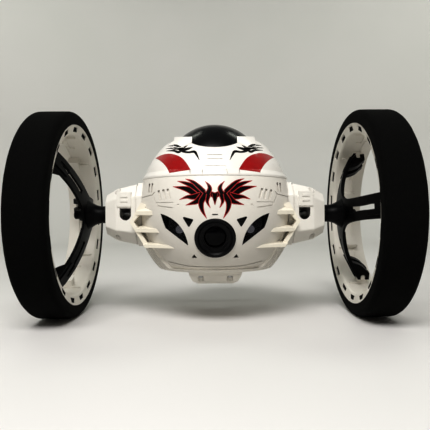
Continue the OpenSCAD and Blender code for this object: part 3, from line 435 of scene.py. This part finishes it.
MASK_STROKES = [
    [(0, 13.0, 2.0), (4, 14.4, 2.0), (9, 13.6, 2.6), (14.6, 15.6, 2.7), (21, 18.2, 1.9), (30.4, 20.0, 0.12)],
    [(9, 14.6, 2.0), (15.4, 19.6, 1.9), (21, 22.2, 1.3), (27.2, 24.0, 0.12)],
    [(7.4, 15.6, 1.7), (11.8, 19.8, 1.7), (16.0, 23.2, 1.2), (21.2, 25.4, 0.12)],
    [(10, 13.4, 2.4), (15.6, 12.2, 2.0), (20, 12.2, 1.2), (25.4, 10.4, 0.12)],
    [(9, 13.0, 2.4), (12.6, 9.2, 2.0), (16, 7.8, 1.2), (20.8, 6.4, 0.12)],
    [(6.6, 13.6, 2.2), (9.6, 8.6, 2.1), (9.0, 3.0, 1.4), (5.8, -3.2, 0.12)],
    [(4.4, 13.8, 1.8), (5.4, 9.6, 1.3), (4.8, 7.2, 0.8), (3.2, 4.2, 0.12)],
    [(5, 14.4, 1.9), (3.6, 17.6, 1.7), (4.4, 20.4, 1.1), (7.0, 23.4, 0.12)],
    [(0, 14.4, 2.2), (0, 11.4, 1.7), (0, 8.8, 0.9), (0, 6.2, 0.12)],
]
SHOULDER_STROKES = [
    [(11.0, 39.0, 0.12), (13.2, 43.6, 0.8), (15.0, 46.0, 1.0), (19.6, 45.8, 0.8), (23.6, 47.0, 1.0),
     (28.4, 49.8, 0.9), (38.4, 51.4, 0.12)],
    [(16.2, 50.0, 0.12), (19.6, 48.8, 1.0), (23.8, 48.6, 1.1), (29, 52.2, 0.9), (36.8, 53.6, 0.12)],
    [(20.4, 51.6, 0.12), (23.6, 49.4, 0.8), (26.8, 46.6, 1.0), (31, 48.2, 0.8), (37.4, 49.0, 0.12)],
]


def decals():
    """Printed flourishes. Each stroke lies on the one before, as a wide layer with a dark core over it."""
    layer_gap = 0.01 * MM
    for name, strokes, tree, layers, inks in (
        ("mask_flourish", MASK_STROKES, "face_plate", ((0.0, 0), (0.5, 1)), [INK_RED, INK_BLACK]),
        ("shoulder_flourish", SHOULDER_STROKES, "upper_shell", ((0.0, 0),), [INK_BLACK]),
    ):
        for side, sign in SIDES:
            bm = bmesh.new()
            lift = LIFT
            for line in strokes:
                for rim, ink in layers:
                    stroke_sheet(bm, SURFACE[tree], line, sign, rim, ink, lift)
                    lift += layer_gap
            piece_of(f"{name}_{side}", bm, inks, "body")


PATCH_TOP = [(47.0, 44.5), (43.2, 45.6), (38.6, 46.3), (33.4, 45.9), (28.2, 44.1), (23.8, 41.2), (20.2, 36.8),
             (17.5, 32.2)]
PATCH_LOW = [(47.0, 44.5), (42.3, 41.5), (38.0, 37.6), (34.9, 33.4), (33.4, 30.5), (33.1, 30.4), (25.4, 31.2),
             (17.5, 32.0)]


def patches():
    """The red foil patches over the shoulders: a sheet ruled between two smooth edges."""
    along, across, height = 8, 36, 1.6 * LIFT
    for side, sign in SIDES:
        bm = bmesh.new()
        top, low = catmull(PATCH_TOP, along), catmull(PATCH_LOW, along)
        grid = []
        for a, b in zip(top, low):
            row = [on_front(SURFACE["upper_shell"], sign * (a[0] + (b[0] - a[0]) * k / across),
                        a[1] + (b[1] - a[1]) * k / across, height)
                   for k in range(across + 1)]
            grid.append([None if p is None else bm.verts.new(p) for p in row])
        for a, b in zip(grid, grid[1:]):
            for k in range(across):
                corners = (a[k], a[k + 1], b[k + 1], b[k])
                if None not in corners:
                    bm.faces.new(corners)
        bmesh.ops.remove_doubles(bm, verts=bm.verts, dist=1e-6)
        piece_of(f"shoulder_patch_{side}", bm, [FOIL_RED], "body")


def headlight_cups():
    """Black cups behind the headlight windows, which keep the LEDs' light off the white plastic inside."""
    inner_r, inner_z, back_y, margin = 61.3, 3.4, -42.5, 1.05
    for side, _ in SIDES:
        window = NODES[f"headlight_window_{side}"]
        spots = [window.matrix_world @ v.co for v in window.data.vertices]
        flat = [(p.x / MM, (p.z - AXLE_Z) / MM) for p in spots]
        outline = [Vector(flat[i]) for i in convex_hull_2d(flat)]
        middle = sum(outline, Vector((0, 0))) / len(outline)
        bm = bmesh.new()
        front, back = [], []
        for spot in outline:
            x, z = middle + (spot - middle) * margin
            y = -math.sqrt(inner_r ** 2 - x ** 2 - (z - inner_z) ** 2)
            front.append(bm.verts.new((x * MM, y * MM, AXLE_Z + z * MM)))
            back.append(bm.verts.new((x * MM, back_y * MM, AXLE_Z + z * MM)))
        bm.faces.new(back)
        for i in range(len(front)):
            bm.faces.new((front[i - 1], front[i], back[i], back[i - 1]))
        piece_of(f"headlight_cup_{side}", bm, [FINISH["black_plastic"]], "body", False)


decals()
patches()
headlight_cups()


# ---------------------------------------------------------------- studio

def sweep():
    """Floor and backdrop as one round bowl of pale paper, so that every side of the object has it behind."""
    bm = bmesh.new()
    floor_r, bend, rise, turns = 1.0, 0.35, 1.5, 96
    flat_steps, bend_steps, wall_steps = 10, 12, 6
    line = [(floor_r * k / flat_steps, 0.0) for k in range(1, flat_steps + 1)]
    line += [(floor_r + bend * math.sin(a), bend - bend * math.cos(a))
             for a in (math.pi / 2 * k / bend_steps for k in range(1, bend_steps + 1))]
    line += [(floor_r + bend, bend + (rise - bend) * k / wall_steps) for k in range(1, wall_steps + 1)]
    middle = bm.verts.new((0, 0, 0))
    rings = [[bm.verts.new((r * math.cos(2 * math.pi * i / turns), r * math.sin(2 * math.pi * i / turns), z))
              for i in range(turns)] for r, z in line]
    for i in range(turns):
        j = (i + 1) % turns
        bm.faces.new((middle, rings[0][i], rings[0][j]))
        for a, b in zip(rings, rings[1:]):
            bm.faces.new((a[i], b[i], b[j], a[j]))
    mesh = bpy.data.meshes.new("paper_sweep")
    bm.to_mesh(mesh)
    bm.free()
    mesh.polygons.foreach_set("use_smooth", [True] * len(mesh.polygons))
    obj = bpy.data.objects.new("paper_sweep", mesh)
    bpy.context.scene.collection.objects.link(obj)
    t = Tree("paper")
    cloud = t.spread(t.noise(3, 2, 0.5), 0, 1)
    tone = t.mix(cloud, srgb(232, 230, 230), srgb(228, 227, 226))
    bounce = t.mix(t.add("ShaderNodeLightPath").outputs["Is Diffuse Ray"], tone, srgb(186, 184, 180))
    paper = t.add("ShaderNodeBsdfPrincipled", {"Base Color": bounce, "Roughness": 0.6,
                                               "Normal": t.bump(t.noise(900, 3, 0.6), 0.03 * MM, 0.4)})
    facing = t.add("ShaderNodeMixShader", {0: t.add("ShaderNodeNewGeometry").outputs["Backfacing"]})
    t.put(facing.inputs[1], paper.outputs[0])
    t.put(facing.inputs[2], t.add("ShaderNodeBsdfTransparent").outputs[0])
    t.put(t.output.inputs["Surface"], facing.outputs[0])
    mesh.materials.append(t.material)


def lamp(name, where, aim, size, power, colour):
    """A rectangular area lamp of size (width, height) in metres, turned towards aim."""
    data = bpy.data.lights.new(name, "AREA")
    data.shape = "RECTANGLE"
    data.size, data.size_y = size
    data.energy = power
    data.color = colour
    obj = bpy.data.objects.new(name, data)
    obj.location = where
    obj.rotation_mode = "QUATERNION"
    obj.rotation_quaternion = (Vector(aim) - Vector(where)).to_track_quat("-Z", "Y")
    bpy.context.scene.collection.objects.link(obj)


sweep()
lamp("lamp_key", (-0.10, -0.68, 0.82), (0, 0.0, 0.05), (0.62, 0.36), 11.6, (1.0, 0.985, 0.955))
for side, sign in SIDES:
    lamp(f"lamp_wall_{side}", (sign * 0.62, 0.4, 1.1), (sign * 0.68, 0.98, 0.4), (0.6, 0.3), 3.3,
         (0.96, 1.0, 0.9))
world = bpy.data.worlds.new("studio")
world.use_nodes = True
world.node_tree.nodes["Background"].inputs[0].default_value = (0.93, 0.95, 0.94, 1)
world.node_tree.nodes["Background"].inputs[1].default_value = WORLD_LIGHT
bpy.context.scene.world = world
bpy.context.scene.view_settings.view_transform = "Standard"
bpy.context.scene.view_settings.look = "None"
bpy.context.scene.view_settings.gamma = 0.8

camera_data = bpy.data.cameras.new("camera")
camera_data.sensor_width = 36.0
camera_data.lens = LENS
camera_data.shift_y = SHIFT
camera_data.clip_start, camera_data.clip_end = 0.01, 20
camera = bpy.data.objects.new("camera", camera_data)
camera.location = (0.0, -CAMERA_AWAY, AXLE_Z)
camera.rotation_euler = (Matrix.Rotation(math.radians(90), 3, "X")
                         @ Matrix.Rotation(math.radians(ROLL), 3, "Z")).to_euler()
bpy.context.scene.collection.objects.link(camera)
bpy.context.scene.camera = camera

bpy.context.view_layer.update()
